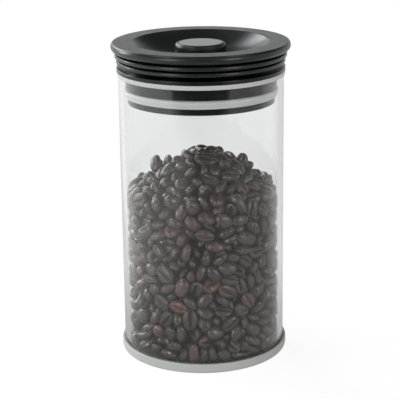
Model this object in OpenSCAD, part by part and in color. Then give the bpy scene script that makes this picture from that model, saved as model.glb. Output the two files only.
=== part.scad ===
// Airtight glass canister with a bellows pump lid, a push-button release valve and a fill of coffee beans.
// Millimetres, +Z up. The origin is the centre of the underside, where the canister stands.
// The lid stands on the jar's lip. Pressing its top plate folds the bellows and drives air out past the
// exhaust flap. The return spring then keeps the jar under a slight vacuum, until the button opens the valve.

/* [Jar] */
// Outer diameter of the glass
jar_d = 100; // [80:1:130]
// Thickness of the glass wall
jar_wall = 3; // [2:0.1:4]
// Thickness of the glass bottom
jar_floor_t = 3.2; // [3:0.1:8]
// Height of the glass
jar_h = 174.4; // [150:0.2:240]
// Rounding of the two edges of the lip
lip_edge_r = 0.8; // [0.3:0.1:0.9]
// Rounding of the outer edge of the glass bottom
heel_r = 1.6; // [0.8:0.1:2.5]
// Rounding inside the jar, where the wall meets the bottom
inner_heel_r = 1; // [1:0.5:6]

/* [Base boot] */
// Thickness of the boot's floor
boot_floor_t = 1.6; // [1:0.1:3]
// Thickness of the boot's wall round the glass
boot_wall = 1.6; // [1:0.1:2.5]
// Height of the boot
boot_h = 5.9; // [5:0.1:12]
// Rounding of the boot's lower outer edge
boot_edge_r = 2; // [0.5:0.1:2.2]
// Depth of the hollow under the boot
boot_hollow = 0.5; // [0.2:0.1:0.8]
// Width of the ring that the canister stands on
boot_foot_w = 7; // [4:0.5:15]

/* [Beans] */
// Height of the beans at the wall, above the inside of the bottom
fill_edge_h = 102.4; // [40:0.2:110]
// Rise of the heap from the wall to its peak
fill_rise = 23; // [10:1:26]
// Distance between the beans that stand out of the fill
bean_pitch = 14; // [10:1:20]
// Depth of the dips between them
bean_relief = 4.7; // [1:0.1:6]

/* [Lid body] */
// Gap between the plug and the glass
plug_gap = 1.2; // [0.8:0.1:1.6]
// Thickness of the plug's upper wall
plug_wall = 2.5; // [2:0.1:3]
// Depth of the plug below the glass rim
plug_depth = 17.8; // [16:0.1:22]
// Height of the collar round the top of the plug
collar_t = 2.3; // [1.6:0.1:3]
// Overhang of the collar past the outside of the glass
collar_over = 0.9; // [0.7:0.1:1.5]
// Width of the flange inside the plug that takes the clamp screws
screw_flange_w = 5; // [4.6:0.1:6]

/* [Seals] */
// Thickness of the rim seal over the lip
seal_t = 0.8; // [0.6:0.1:2]
// Depth of the rim seal's skirt outside the glass
seal_skirt_h = 1.9; // [1:0.1:3]
// Height of the plug gasket
gasket_h = 5.1; // [4:0.1:6]
// Distance of the gasket's lower edge from the glass
gasket_taper = 1.6; // [1:0.1:1.8]

/* [Gasket retainer and bean guard] */
// Height of the retainer below the gasket
retainer_h = 3.9; // [3.5:0.1:5]
// Distance of the retainer from the glass
retainer_setback = 2.4; // [2.1:0.1:3]
// Thickness of the flange that carries the bean guard
retainer_flange_t = 1.4; // [1:0.1:1.8]
// Thickness of the bean guard
guard_t = 1.6; // [1.2:0.1:2]
// Diameter of the guard's air holes
guard_hole_d = 2.6; // [2:0.2:4]

/* [Bellows] */
// Number of ribs
rib_count = 2; // [1:1:3]
// Height of one rib
rib_h = 2.5; // [2.2:0.1:3.5]
// Gap above each rib
rib_gap = 1.2; // [1:0.1:2]
// Height of the neck below the first rib
neck_h = 2.3; // [2:0.1:4]
// Depth of the neck behind the collar's edge
neck_depth = 2.7; // [2.5:0.1:3.5]
// Growth in radius from one rib to the next
rib_step = 1; // [0:0.1:1.2]
// Thickness of the bellows' wall
bellows_wall = 1; // [0.8:0.05:1]

/* [Top plate] */
// Height of the rim
rim_h = 5.2; // [4.8:0.1:7]
// Overhang of the rim past the collar
rim_over = 3.2; // [2.4:0.1:4.5]
// Radius of the rim's rounded side
rim_side_r = 3; // [2.95:0.05:4]
// Distance from the top down to the widest place of the rim
rim_belly = 2.3; // [1.5:0.1:2.6]
// Width of the flat ring on top, measured from the widest place of the rim
flat_w = 12.8; // [11.5:0.1:14]
// Thickness of the plate
plate_t = 2.2; // [1.8:0.1:2.6]
// Depth of the dish
dish_depth = 10.5; // [9:0.1:12]
// Rounding where the flat ring turns down into the dish
dish_edge_r = 1.2; // [0.5:0.1:2]

/* [Button] */
// Diameter of the button's head
button_d = 31; // [30:0.2:34]
// Thickness of the button's head
button_t = 3; // [2.6:0.1:3.5]
// How far the top of the button lies below the rim
button_drop = 0.9; // [0.3:0.1:2]
// Rounding of the head's top edge
button_edge_r = 2.3; // [0.5:0.1:2.4]
// Thickness of the skirt round the head
button_skirt_w = 1.4; // [1:0.1:1.6]
// Diameter of the light disc in the head
cap_d = 26; // [20:0.2:26]
// Thickness of the light disc
cap_t = 1; // [0.8:0.1:1.2]
// Travel of the button
button_travel = 3; // [2:0.1:3.2]
// Outer diameter of the plunger tube under the head
plunger_d = 23; // [22.6:0.2:23.4]
// Thickness of the plunger tube's wall
plunger_wall = 1.6; // [1.2:0.1:1.8]

/* [Valve] */
// Depth of the guide well below the bottom of the dish
well_depth = 8.5; // [7.5:0.1:9]
// Thickness of the guide well's wall
well_wall = 1.8; // [1.4:0.1:2]
// Thickness of the guide well's floor
well_floor_t = 2; // [1.5:0.1:2.5]
// Diameter of the valve stem
stem_d = 4; // [3.4:0.2:4.4]
// Diameter of the air hole round the stem
port_d = 6.4; // [5.6:0.2:7]
// Diameter of the valve disc
disc_d = 13; // [12:0.2:13.6]
// Thickness of the valve disc
disc_t = 1.4; // [1:0.1:1.6]
// Thickness of the valve seal
valve_seal_t = 1; // [0.6:0.1:1.2]
// Thickness of the clip at the end of the stem
clip_t = 0.8; // [0.5:0.1:1]
// Thickness of the exhaust flap
flap_t = 0.7; // [0.5:0.1:0.9]
// Number of exhaust holes
exhaust_count = 6; // [4:1:10]
// Diameter of an exhaust hole
exhaust_d = 1.8; // [1.2:0.1:2]

/* [Springs and screws] */
// Wire diameter of the lid's return spring
spring_wire = 1.6; // [1.2:0.1:2]
// Mean diameter of the lid's return spring
spring_d = 46; // [42:0.5:50]
// Turns of the lid's return spring, between its two end turns
spring_turns = 3; // [2:0.5:4]
// Wire diameter of the button's spring
button_wire = 0.8; // [0.6:0.05:0.9]
// Turns of the button's spring, between its two end turns
button_turns = 5; // [3:0.5:6]
// Number of screws in the lower clamp ring
screw_count = 6; // [4:1:8]
// Thread diameter of the screws
screw_d = 2.5; // [2:0.1:2.8]
// Length of the screws below their heads
screw_l = 6; // [5:0.1:7]

/* [Motion] */
// Travel of the top plate, from rest down to its stop
pump_travel = 4; // [2:0.1:4]

/* [Hidden] */
$fn = 96;

// Clearances
fit = 0.1;         // between pieces that are fitted together and stay put
run = 0.1;         // between the plunger and the guide well
seal_gap = 0.15;   // between a seal and the glass that it closes against
fill_gap = 0.3;    // between the heap of beans and the glass
stop_gap = 0.5;    // between two pieces at the end of a travel
past = 1;          // how far a cutting shape reaches past what it cuts
sink = 0.3;        // how far one part of a piece reaches into the next, to be one with it
soft_edge = 0.4;   // rounding of the moulded edges
skin = 1;          // least thickness of moulded plastic at a blind hole or a seat

// The jar in its boot
jar_r = jar_d / 2;
bore_r = jar_r - jar_wall;
floor_z = boot_floor_t + jar_floor_t;
lip_z = boot_floor_t + jar_h;
boot_in_r = jar_r + fit;
boot_r = boot_in_r + boot_wall;
fill_r = bore_r - fill_gap;

// The plug, its seals and what hangs from it
collar_z = lip_z + seal_t;
collar_top_z = collar_z + collar_t;
collar_r = jar_r + collar_over;
plug_r = bore_r - plug_gap;
plug_in_r = plug_r - plug_wall;
screw_flange_r = plug_in_r - screw_flange_w;
plug_z = lip_z - plug_depth;
guard_z = plug_z + retainer_flange_t;
guard_top_z = guard_z + guard_t;
gasket_z = plug_z + retainer_h;
gasket_top_z = gasket_z + gasket_h;
retainer_r = bore_r - retainer_setback;
retainer_step = 1.1;
sleeve_wall = 0.9;
sleeve_r = retainer_r - retainer_step;
sleeve_in_r = sleeve_r - sleeve_wall;
tail_wall = 2;
tail_r = sleeve_in_r - fit;
tail_in_r = tail_r - tail_wall;
shelf_t = 2;
guard_r = tail_r;
guard_lip_w = 4;
snap_r = 0.35;
snap_z = gasket_z + gasket_h / 2;

// The bellows between its two clamp rings
neck_r = collar_r - neck_depth;
neck_in_r = neck_r - bellows_wall;
rib_pitch = rib_h + rib_gap;
flange_in_r = plug_in_r + fit;
clamp_t = 1.5;
clamp_r = neck_in_r - stop_gap;
clamp_z = collar_top_z + bellows_wall;
clamp_top_z = clamp_z + clamp_t;
screw_ring_r = plug_in_r - screw_flange_w / 2;
screw_head_r = 0.8 * screw_d;
screw_head_h = 1.6;
screw_drive_w = 1.4;
screw_sink = 0.7;
boss_r = screw_flange_w / 2 + sink;
screw_end_z = clamp_top_z - screw_sink - screw_l;
screw_top_z = clamp_top_z - screw_sink + screw_head_h;
boss_z = screw_end_z - skin;

// The top plate, with its dish and guide well
rim_z = collar_top_z + neck_h + rib_count * rib_pitch;
top_z = rim_z + rim_h;
web_z = top_z - plate_t;
rim_r = collar_r + rim_over;
rim_in_r = neck_r + rib_gap;
belly_r = rim_r - rim_side_r;
belly_z = top_z - rim_belly;
dish_r = rim_r - flat_w;
dish_z = top_z - dish_depth;
well_r = plunger_d / 2 + run;
well_out_r = well_r + well_wall;
dish_run = dish_r - well_out_r;
bowl_r = (dish_run * dish_run + dish_depth * dish_depth) / (2 * dish_depth);
bowl_z = dish_z + bowl_r;
upper_flange_z = web_z - bellows_wall;
upper_clamp_z = upper_flange_z - clamp_t;
hook_r = flange_in_r - fit;
hook_wall = 1.3;
hook_bead_r = 0.5;
hook_z = min(screw_top_z + pump_travel + stop_gap, upper_clamp_z - 2 * hook_bead_r);

// The button, its guide well and its spring
button_r = button_d / 2;
button_top_z = top_z - button_drop;
button_z = button_top_z - button_t;
skirt_z = dish_z + button_travel + stop_gap;
well_top_z = button_z - button_travel - stop_gap;
well_z = dish_z - well_depth;
well_floor_z = well_z + well_floor_t;
flap_top_z = well_floor_z + flap_t;
plunger_r = plunger_d / 2;
plunger_z = flap_top_z + button_travel + stop_gap;
socket_wall = 1.2;
stem_grip = 2.4;

// The valve, drawn shut: its seal lies against the underside of the well
stem_r = stem_d / 2;
stem_step = 0.5;
stem_neck_r = stem_r - stem_step;
port_r = port_d / 2;
hub_r = port_r + socket_wall;
hub_over_flap = 0.9;
hub_h = flap_t + hub_over_flap;
exhaust_r = exhaust_d / 2;
exhaust_ring_r = disc_d / 2 + stop_gap + exhaust_r;
flap_r = exhaust_ring_r + exhaust_r + stop_gap;
disc_z = well_z - valve_seal_t - disc_t;
clip_z = disc_z - clip_t;
stem_z = clip_z - clip_t;
clip_over = 1.3;
clip_r = stem_r + clip_over;
clip_slot_w = 1.6;

// Springs: the return spring stands on the guard, the button's spring holds the flap down
spring_r = spring_d / 2;
spring_lip_w = 1.2;
spring_seat_z = dish_z - plate_t - skin;
spring_seat_w = spring_wire + 2 * spring_lip_w;
spring_lip_h = 1.2;
spring_lip_r = spring_r - spring_wire / 2 - sink;
button_spring_r = hub_r + fit + stop_gap + button_wire / 2;
wire_sides = 8;
steps_per_turn = 24;
end_turn_pitch = 1.1;

// Air holes in the guard: how many on each ring, from the centre out
guard_rings = 4;
guard_edge = 0.8; // solid edge outside the last ring, as a share of the distance between rings
guard_ring_pitch = tail_in_r / (guard_rings + guard_edge);

// The fill's surface is a net of corners: dips and beans by turns, in rows up the wall and over the heap
corners_per_bean = 3;
bean_columns = corners_per_bean * round(2 * PI * fill_r / bean_pitch);
heap_run = norm([fill_r, fill_rise]);
bean_rows = 2 * round((fill_edge_h + heap_run) / bean_pitch);
bean_row_h = (fill_edge_h + heap_run) / (bean_rows - 0.5);
bean_stray = 0.2;  // how far a corner strays from its place, as a share of the relief
bean_seed = 7;
bean_strays = rands(-bean_stray, bean_stray, 2 * bean_rows * bean_columns, bean_seed);

// Height of the heap of beans at a radius: a bell that runs out level at the wall
function heap_z(r) = floor_z + fill_edge_h + fill_rise * (1 + cos(180 * r / fill_r)) / 2;

// Radius and height of the fill's outer surface, after a way up the wall and over the heap to its peak
function fill_point(way) =
    let (r = min(fill_r, fill_r * (fill_edge_h + heap_run - way) / heap_run))
    [r, way < fill_edge_h ? floor_z + way : heap_z(r)];

// How deep a corner lies below that surface, as a share of the relief: 0 on a bean and 1 in a dip.
// A ring of beans holds as many as its radius has room for, and each ring is turned on from the last
function bean_dip(column, row, r) =
    let (beans = max(1, round(2 * PI * r / bean_pitch)),
         across = column * beans / bean_columns + (row - 1) / (2 * corners_per_bean))
    row % 2 == 0 ? 1 : 1 - min(1, 1.2 * sin(180 * (across - floor(across))));

// A corner of the net. The first row is the rim of the flat underside, which stays clear of the jar's heel
function bean_corner(column, row) =
    let (angle = 360 * column / bean_columns, here = fill_point(row * bean_row_h),
         along = fill_point((row + 0.5) * bean_row_h) - here, ahead = along / norm(along),
         inward = [-ahead[1], ahead[0]], spot = 2 * (row * bean_columns + column), ease = here[0] / fill_r,
         depth = min(1, bean_dip(column, row, here[0]) + ease * (bean_stray + bean_strays[spot]) / 2),
         place = row == 0 ? [fill_r - max(inner_heel_r, bean_relief), floor_z]
             : here + bean_relief * (depth * inward + ease * bean_strays[spot + 1] * ahead))
    [place[0] * cos(angle), place[0] * sin(angle), place[1]];

// Height of the wire's centre after a number of turns, with a closed turn at each end
function wire_rise(turn, turns, wire, h) =
    let (end_rise = end_turn_pitch * wire, mid = h - wire - 2 * end_rise)
    turn < 1 ? turn * end_rise
    : turn > turns + 1 ? h - wire - (turns + 2 - turn) * end_rise
    : end_rise + (turn - 1) * mid / turns;

// A point on the surface of the wire
function wire_point(turn, side, turns, wire, r, h) =
    let (around = 360 * turn, across = 360 * side / wire_sides, reach = r + wire / 2 * cos(across))
    [reach * cos(around), reach * sin(around),
     wire / 2 * (1 + sin(across)) + wire_rise(turn, turns, wire, h)];

// What is cut from a corner at (x, z) to round it; sx and sz point from the corner into the shape
module corner_cut(x, z, sx, sz, r) {
    difference() {
        translate([sx > 0 ? x - past : x - r, sz > 0 ? z - past : z - r]) square(r + past);
        translate([x + sx * r, z + sz * r]) circle(r);
    }
}

// A rectangle whose corners are rounded: lower inner, lower outer, upper outer, upper inner
module rounded(x0, x1, z0, z1, li = 0, lo = 0, uo = 0, ui = 0) {
    difference() {
        translate([x0, z0]) square([x1 - x0, z1 - z0]);
        if (li > 0) corner_cut(x0, z0, 1, 1, li);
        if (lo > 0) corner_cut(x1, z0, -1, 1, lo);
        if (uo > 0) corner_cut(x1, z1, -1, -1, uo);
        if (ui > 0) corner_cut(x0, z1, 1, -1, ui);
    }
}

module turned() {
    rotate_extrude() children();
}

module around(count, radius) {
    for (i = [0 : count - 1]) rotate(360 * i / count) translate([radius, 0]) children();
}

module coil(turns, wire, r, z, h) {
    rings = (turns + 2) * steps_per_turn;
    points = [for (i = [0 : rings], j = [0 : wire_sides - 1])
        wire_point(i / steps_per_turn, j, turns, wire, r, h)];
    sides = [for (i = [0 : rings - 1], j = [0 : wire_sides - 1])
        let (k = (j + 1) % wire_sides, a = i * wire_sides, b = a + wire_sides)
        [a + j, a + k, b + k, b + j]];
    start = [for (j = [wire_sides - 1 : -1 : 0]) j];
    end = [for (j = [0 : wire_sides - 1]) rings * wire_sides + j];
    translate([0, 0, z]) polyhedron(points, concat([start, end], sides));
}

module base_boot() {
    color("darkgray") turned() difference() {
        rounded(0, boot_r, 0, boot_h, lo = boot_edge_r, uo = soft_edge);
        rounded(-past, boot_in_r, boot_floor_t, boot_h + past, lo = heel_r);
        translate([-past, -past]) square([boot_r - boot_edge_r - boot_foot_w + past, boot_hollow + past]);
    }
}

module glass_jar() {
    color("lightblue", 0.35) turned() difference() {
        rounded(0, jar_r, boot_floor_t, lip_z, lo = heel_r, uo = lip_edge_r);
        rounded(-past, bore_r, floor_z, lip_z + past, lo = inner_heel_r);
        corner_cut(bore_r, lip_z, 1, -1, lip_edge_r);
    }
}

module coffee_beans() {
    last = bean_rows * bean_columns;
    points = [for (row = [0 : bean_rows - 1], column = [0 : bean_columns - 1]) bean_corner(column, row)];
    sides = [for (row = [0 : bean_rows - 2], column = [0 : bean_columns - 1], upper = [0, 1])
        let (next = (column + 1) % bean_columns, low = row * bean_columns, high = low + bean_columns)
        upper == 1 ? [low + column, high + column, high + next] : [low + column, high + next, low + next]];
    peak = [for (column = [0 : bean_columns - 1])
        [last - bean_columns + column, last, last - bean_columns + (column + 1) % bean_columns]];
    underside = [for (column = [0 : bean_columns - 1]) column];
    color("saddlebrown") polyhedron(concat(points, [[0, 0, heap_z(0)]]), concat([underside], sides, peak));
}

module lid_body() {
    color("dimgray") difference() {
        union() {
            turned() difference() {
                union() {
                    rounded(screw_flange_r, collar_r, collar_z, collar_top_z, uo = soft_edge);
                    rounded(plug_in_r, plug_r, gasket_top_z, collar_z + sink);
                    rounded(tail_in_r, plug_r, gasket_top_z, gasket_top_z + shelf_t);
                    rounded(tail_in_r, tail_r, guard_top_z, gasket_top_z + sink);
                }
                translate([sleeve_in_r, snap_z]) circle(snap_r + fit);
            }
            intersection() {
                around(screw_count, screw_ring_r) translate([0, 0, boss_z])
                    cylinder(r = boss_r, h = collar_z + sink - boss_z);
                cylinder(r = plug_in_r + sink, h = top_z);
            }
        }
        around(screw_count, screw_ring_r) translate([0, 0, screw_end_z - fit])
            cylinder(d = screw_d + fit, h = collar_top_z + past - screw_end_z);
    }
}

module rim_seal() {
    skirt_in_r = jar_r + seal_gap;
    skirt_z = lip_z - seal_skirt_h;
    color("gainsboro") turned() polygon([
        [plug_r + fit, lip_z], [skirt_in_r, lip_z], [skirt_in_r, skirt_z],
        [(skirt_in_r + collar_r) / 2, skirt_z], [collar_r, lip_z], [collar_r, collar_z],
        [plug_r + fit, collar_z]
    ]);
}

module plug_gasket() {
    lip_r = bore_r - seal_gap;
    color("lightgray") turned() difference() {
        polygon([
            [sleeve_r + fit, gasket_z], [bore_r - gasket_taper, gasket_z],
            [lip_r, gasket_top_z - gasket_h / 3],
            [lip_r, gasket_top_z], [sleeve_r + fit, gasket_top_z]
        ]);
        corner_cut(lip_r, gasket_top_z, -1, -1, gasket_h / 4);
    }
}

module gasket_retainer() {
    color("dimgray") turned() {
        rounded(sleeve_in_r, retainer_r, plug_z, gasket_z, lo = soft_edge);
        rounded(tail_r - guard_lip_w, sleeve_in_r + sink, plug_z, guard_z);
        rounded(sleeve_in_r, sleeve_r, gasket_z - sink, gasket_top_z - fit);
        translate([sleeve_in_r, snap_z]) circle(snap_r);
    }
}

module bean_guard() {
    color("dimgray") difference() {
        union() {
            translate([0, 0, guard_z]) cylinder(r = guard_r, h = guard_t);
            turned()
                rounded(spring_lip_r - spring_lip_w, spring_lip_r,
                        guard_top_z - sink, guard_top_z + spring_lip_h);
        }
        for (ring = [1 : guard_rings])
            around(6 * ring, ring * guard_ring_pitch) translate([0, 0, guard_z - past])
                cylinder(d = guard_hole_d, h = guard_t + spring_lip_h + 2 * past);
    }
}

module lower_clamp_ring() {
    color("gray") difference() {
        turned() {
            rounded(screw_flange_r, clamp_r, clamp_z, clamp_top_z, uo = soft_edge);
            rounded(screw_flange_r, flange_in_r - fit, collar_top_z, clamp_z + sink);
        }
        around(screw_count, screw_ring_r) {
            translate([0, 0, collar_top_z - past]) cylinder(d = screw_d + 4 * fit, h = clamp_t + 3 * past);
            translate([0, 0, clamp_top_z - screw_sink])
                cylinder(r = screw_head_r + fit, h = screw_sink + past);
        }
    }
}

module clamp_screws() {
    color("silver") around(screw_count, screw_ring_r) difference() {
        translate([0, 0, screw_end_z]) {
            cylinder(d = screw_d, h = screw_l + sink);
            translate([0, 0, screw_l]) cylinder(r = screw_head_r, h = screw_head_h);
        }
        translate([0, 0, screw_top_z - screw_head_h / 2])
            cylinder(d = screw_drive_w, h = screw_head_h, $fn = 6);
    }
}

module bellows() {
    fold_z0 = collar_top_z + neck_h;
    color("dimgray") turned() {
        rounded(flange_in_r, neck_r, collar_top_z, clamp_z);
        rounded(flange_in_r, neck_r, upper_flange_z, web_z);
        difference() {
            union() {
                rounded(neck_in_r, neck_r, collar_top_z, web_z);
                for (i = [0 : rib_count - 1]) {
                    z = fold_z0 + i * rib_pitch;
                    rounded(neck_in_r, collar_r + i * rib_step, z, z + rib_h, lo = rib_h / 3, uo = rib_h / 3);
                }
            }
            for (i = [0 : rib_count - 1]) {
                z = fold_z0 + i * rib_pitch + bellows_wall;
                rounded(neck_in_r - past, collar_r + i * rib_step - bellows_wall,
                        z, z + rib_h - 2 * bellows_wall);
            }
        }
    }
}

module return_spring() {
    color("silver") coil(spring_turns, spring_wire, spring_r, guard_top_z, spring_seat_z - guard_top_z);
}

// The outline of the rim: a rounded side below a flat top, hollow underneath
module rim_outline() {
    intersection() {
        translate([rim_in_r, rim_z]) square([rim_r, rim_h]);
        union() {
            translate([belly_r, belly_z]) circle(rim_side_r);
            translate([0, rim_z]) square([belly_r, rim_h]);
        }
    }
}

// The outline of the dish: a shell between two arcs, level at the guide well, rounded at its upper edge
module dish_outline() {
    edge_z = top_z - dish_edge_r;
    edge_x = well_out_r + sqrt(pow(bowl_r + dish_edge_r, 2) - pow(bowl_z - edge_z, 2));
    toward_bowl = [well_out_r - edge_x, bowl_z - edge_z] / (bowl_r + dish_edge_r);
    reach = 2 * dish_edge_r;
    difference() {
        union() {
            intersection() {
                translate([well_out_r - well_wall / 2, well_z])
                    square([belly_r - well_out_r, dish_depth + well_depth]);
                translate([well_out_r, bowl_z]) circle(bowl_r + plate_t, $fn = 4 * $fn);
            }
            rounded(dish_r, belly_r, web_z, top_z);
        }
        translate([well_out_r, bowl_z]) circle(bowl_r, $fn = 4 * $fn);
        difference() {
            polygon([[edge_x, edge_z], [edge_x, edge_z + reach], [edge_x, edge_z] + reach * toward_bowl]);
            translate([edge_x, edge_z]) circle(dish_edge_r);
        }
    }
}

module top_plate() {
    color("dimgray") difference() {
        turned() {
            rim_outline();
            dish_outline();
            rounded(well_r, well_out_r, well_z, well_top_z, ui = soft_edge, uo = soft_edge);
            rounded(port_r, well_out_r, well_z, well_floor_z);
            rounded(port_r, hub_r, well_z, well_floor_z + hub_h);
            rounded(spring_r - spring_seat_w / 2, spring_r + spring_seat_w / 2, spring_seat_z, dish_z - sink);
            rounded(spring_lip_r - spring_lip_w, spring_lip_r,
                    spring_seat_z - spring_lip_h, spring_seat_z + sink);
            rounded(hook_r - hook_wall, hook_r, hook_z, web_z + sink);
            translate([hook_r, upper_clamp_z - hook_bead_r]) circle(hook_bead_r);
        }
        around(exhaust_count, exhaust_ring_r) translate([0, 0, well_z - past])
            cylinder(r = exhaust_r, h = well_floor_t + 2 * past);
    }
}

module upper_clamp_ring() {
    color("gray") turned() rounded(flange_in_r, clamp_r, upper_clamp_z, upper_flange_z, lo = soft_edge);
}

module exhaust_flap() {
    color("darkslategray") turned() rounded(hub_r + fit, flap_r, well_floor_z, flap_top_z);
}

module button_spring() {
    color("silver") coil(button_turns, button_wire, button_spring_r, flap_top_z, button_z - flap_top_z);
}

module button_head() {
    color("dimgray") difference() {
        turned() {
            rounded(0, button_r, button_z, button_top_z, uo = button_edge_r);
            rounded(button_r - button_skirt_w, button_r, skirt_z, button_z + sink, lo = soft_edge);
            rounded(plunger_r - plunger_wall, plunger_r, plunger_z, button_z + sink);
            rounded(0, stem_r + fit + socket_wall, button_z - stem_grip, button_z + sink);
        }
        translate([0, 0, button_top_z - cap_t]) cylinder(r = cap_d / 2 + fit, h = cap_t + past);
        translate([0, 0, button_z - stem_grip - past]) cylinder(r = stem_r + fit, h = stem_grip + past);
    }
}

module button_cap() {
    color("lightgray") turned() rounded(0, cap_d / 2, button_top_z - cap_t, button_top_z, uo = soft_edge / 2);
}

module valve_stem() {
    color("silver") turned() {
        rounded(0, stem_r, well_z - valve_seal_t, button_z);
        rounded(0, stem_neck_r, stem_z, well_z - valve_seal_t + sink);
    }
}

module valve_disc() {
    color("gray") turned() rounded(stem_neck_r + fit, disc_d / 2, disc_z, disc_z + disc_t, lo = soft_edge);
}

module valve_seal() {
    color("darkslategray") turned() rounded(stem_r + fit, disc_d / 2 - stop_gap, disc_z + disc_t, well_z);
}

module stem_clip() {
    color("silver") difference() {
        turned() rounded(stem_neck_r, clip_r, clip_z, disc_z);
        translate([0, -clip_slot_w / 2, clip_z - past]) cube([clip_r + past, clip_slot_w, clip_t + 2 * past]);
    }
}

base_boot();
glass_jar();
coffee_beans();
lid_body();
rim_seal();
plug_gasket();
gasket_retainer();
bean_guard();
lower_clamp_ring();
clamp_screws();
bellows();
return_spring();
top_plate();
upper_clamp_ring();
exhaust_flap();
button_spring();
button_head();
button_cap();
valve_stem();
valve_disc();
valve_seal();
stem_clip();
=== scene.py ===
import math

import bpy
import numpy as np
from mathutils import Matrix, Vector


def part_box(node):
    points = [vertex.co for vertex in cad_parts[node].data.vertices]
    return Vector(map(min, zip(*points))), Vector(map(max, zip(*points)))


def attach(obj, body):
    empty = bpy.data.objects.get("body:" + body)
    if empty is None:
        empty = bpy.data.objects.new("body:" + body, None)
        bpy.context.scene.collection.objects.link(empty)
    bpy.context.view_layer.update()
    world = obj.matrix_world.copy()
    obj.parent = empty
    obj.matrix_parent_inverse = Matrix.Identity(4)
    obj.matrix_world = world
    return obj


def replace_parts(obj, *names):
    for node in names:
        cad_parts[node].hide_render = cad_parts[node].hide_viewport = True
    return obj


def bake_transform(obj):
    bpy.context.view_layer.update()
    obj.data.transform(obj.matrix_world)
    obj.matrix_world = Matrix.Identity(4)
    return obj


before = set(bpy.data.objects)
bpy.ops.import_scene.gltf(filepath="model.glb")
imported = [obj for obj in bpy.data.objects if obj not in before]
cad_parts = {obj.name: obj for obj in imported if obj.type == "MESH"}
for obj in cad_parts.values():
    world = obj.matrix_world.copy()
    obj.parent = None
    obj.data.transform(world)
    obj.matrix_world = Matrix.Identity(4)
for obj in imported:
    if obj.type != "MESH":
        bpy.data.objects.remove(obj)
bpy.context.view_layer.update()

MM = 0.001

# Camera, fitted to the ellipses of the boot and of the top plate
PHOTO_PX = 400
FOCAL_PX = 1363.18
SENSOR_MM = 36
CAMERA_AT = (-0.00154, -0.80999, 0.33649)
CAMERA_PITCH = math.radians(16.649)       # downwards
CAMERA_ROLL = -0.0128                     # in radians
NEAREST, FURTHEST = 0.01, 50              # what the camera sees

# Turned pieces
SEGMENTS, GLASS_SEGMENTS, CORE_SEGMENTS = 256, 384, 96
ARC_ERROR = 0.008         # how far a chord may lie inside its arc
ARC_STEP = 15             # most degrees between two points of an arc
WORN_ROUNDING = 1.0       # a rounding smaller than this is an edge that wears
GUARD = 0.06              # rings this close to a rounding keep the flat beside it flat
LONG_STEP = 3.0           # points of arcs further apart than this have a flat between them
SHARP = math.radians(32)  # edges sharper than this are not smoothed over
ON_AXIS = 1e-6            # a smaller radius is the axis itself

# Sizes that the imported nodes' boxes don't give
JAR_WALL, JAR_FLOOR = 3.0, 3.2
LIP_ROUND, HEEL_ROUND, INNER_HEEL_ROUND = 0.8, 1.6, 1.0
EASED, SOFT, FINE, CRISP = 0.4, 0.3, 0.2, 0.15    # roundings of moulded edges
CONTACT = 0.03            # left between the glass and what touches it

# The beans
BEAN_HALF = np.array([6.1, 4.3, 2.9])     # half length, half width and half thickness
BEAN_COUNT = 770
BEAN_SEED = 7
BEAN_SHAPES = 12                          # different shapes among them
BEAN_MESHES = 5
BEAN_TINTS = (1.6, 3.0)                   # a beta distribution, with few pale beans
BEAN_CLEARANCE = 0.2                      # between the outermost beans and the glass
CORE_RADIUS = 33.0                        # a closed middle, which no bean enters
CORE_DEPTH = 13.0                         # thickness of the beans over it
FILL_EDGE, FILL_RISE = 102.4, 23.0        # the heap's height at the wall, and what the middle adds
MOUNDS = ((-28, 5, 5.5, 11), (25, 4, 8, 7))   # where it is fuller: x, y, width and height


# ---------------------------------------------------------------- outlines and turned meshes

def extent(name):
    """Outer radius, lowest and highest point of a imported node, in millimetres."""
    low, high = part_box(name)
    return high.x / MM, low.z / MM, high.z / MM


def arc(centre_r, centre_z, radius, start, end):
    """The points of an arc, from start to end in degrees."""
    step = min(ARC_STEP, 2 * math.degrees(math.acos(1 - min(1, ARC_ERROR / radius))))
    count = max(2, math.ceil(abs(end - start) / step))
    angles = [math.radians(start + (end - start) * i / count) for i in range(count + 1)]
    return [("arc", centre_r + radius * math.cos(a), centre_z + radius * math.sin(a))
            for a in angles]


def place(corner):
    """The point of a corner or of an arc's point."""
    return Vector(corner[1:3] if corner[0] == "arc" else corner[:2])


def rounding_arc(before, here, after, radius):
    """The arc that rounds the corner at here, on the way from before to after."""
    back, on = (before - here).normalized(), (after - here).normalized()
    half = back.angle(on) / 2
    centre = here + (back + on).normalized() * radius / math.sin(half)
    first = here + back * radius / math.tan(half) - centre
    last = here + on * radius / math.tan(half) - centre
    start = math.degrees(math.atan2(first.y, first.x))
    turn = math.degrees(math.atan2(first.x * last.y - first.y * last.x, first.dot(last)))
    return arc(centre.x, centre.y, radius, start, start + turn)


def outline(*corners):
    """A closed outline of (r, z) or (r, z, rounding) corners and of arcs, as rows of r, z and
    edge. edge is 1 on a small rounding, where a moulded piece is rubbed lighter."""
    rows = []
    count = len(corners)
    for i, corner in enumerate(corners):
        here = place(corner)
        if corner[0] != "arc" and len(corner) == 3 and corner[2] > 0:
            before, after = place(corners[i - 1]), place(corners[(i + 1) % count])
            edge = float(corner[2] < WORN_ROUNDING)
            rows += [(r, z, edge, True) for _, r, z in rounding_arc(before, here, after, corner[2])]
        else:
            rows.append((here.x, here.y, 0.0, corner[0] == "arc"))
    return guarded(rows)


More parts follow.
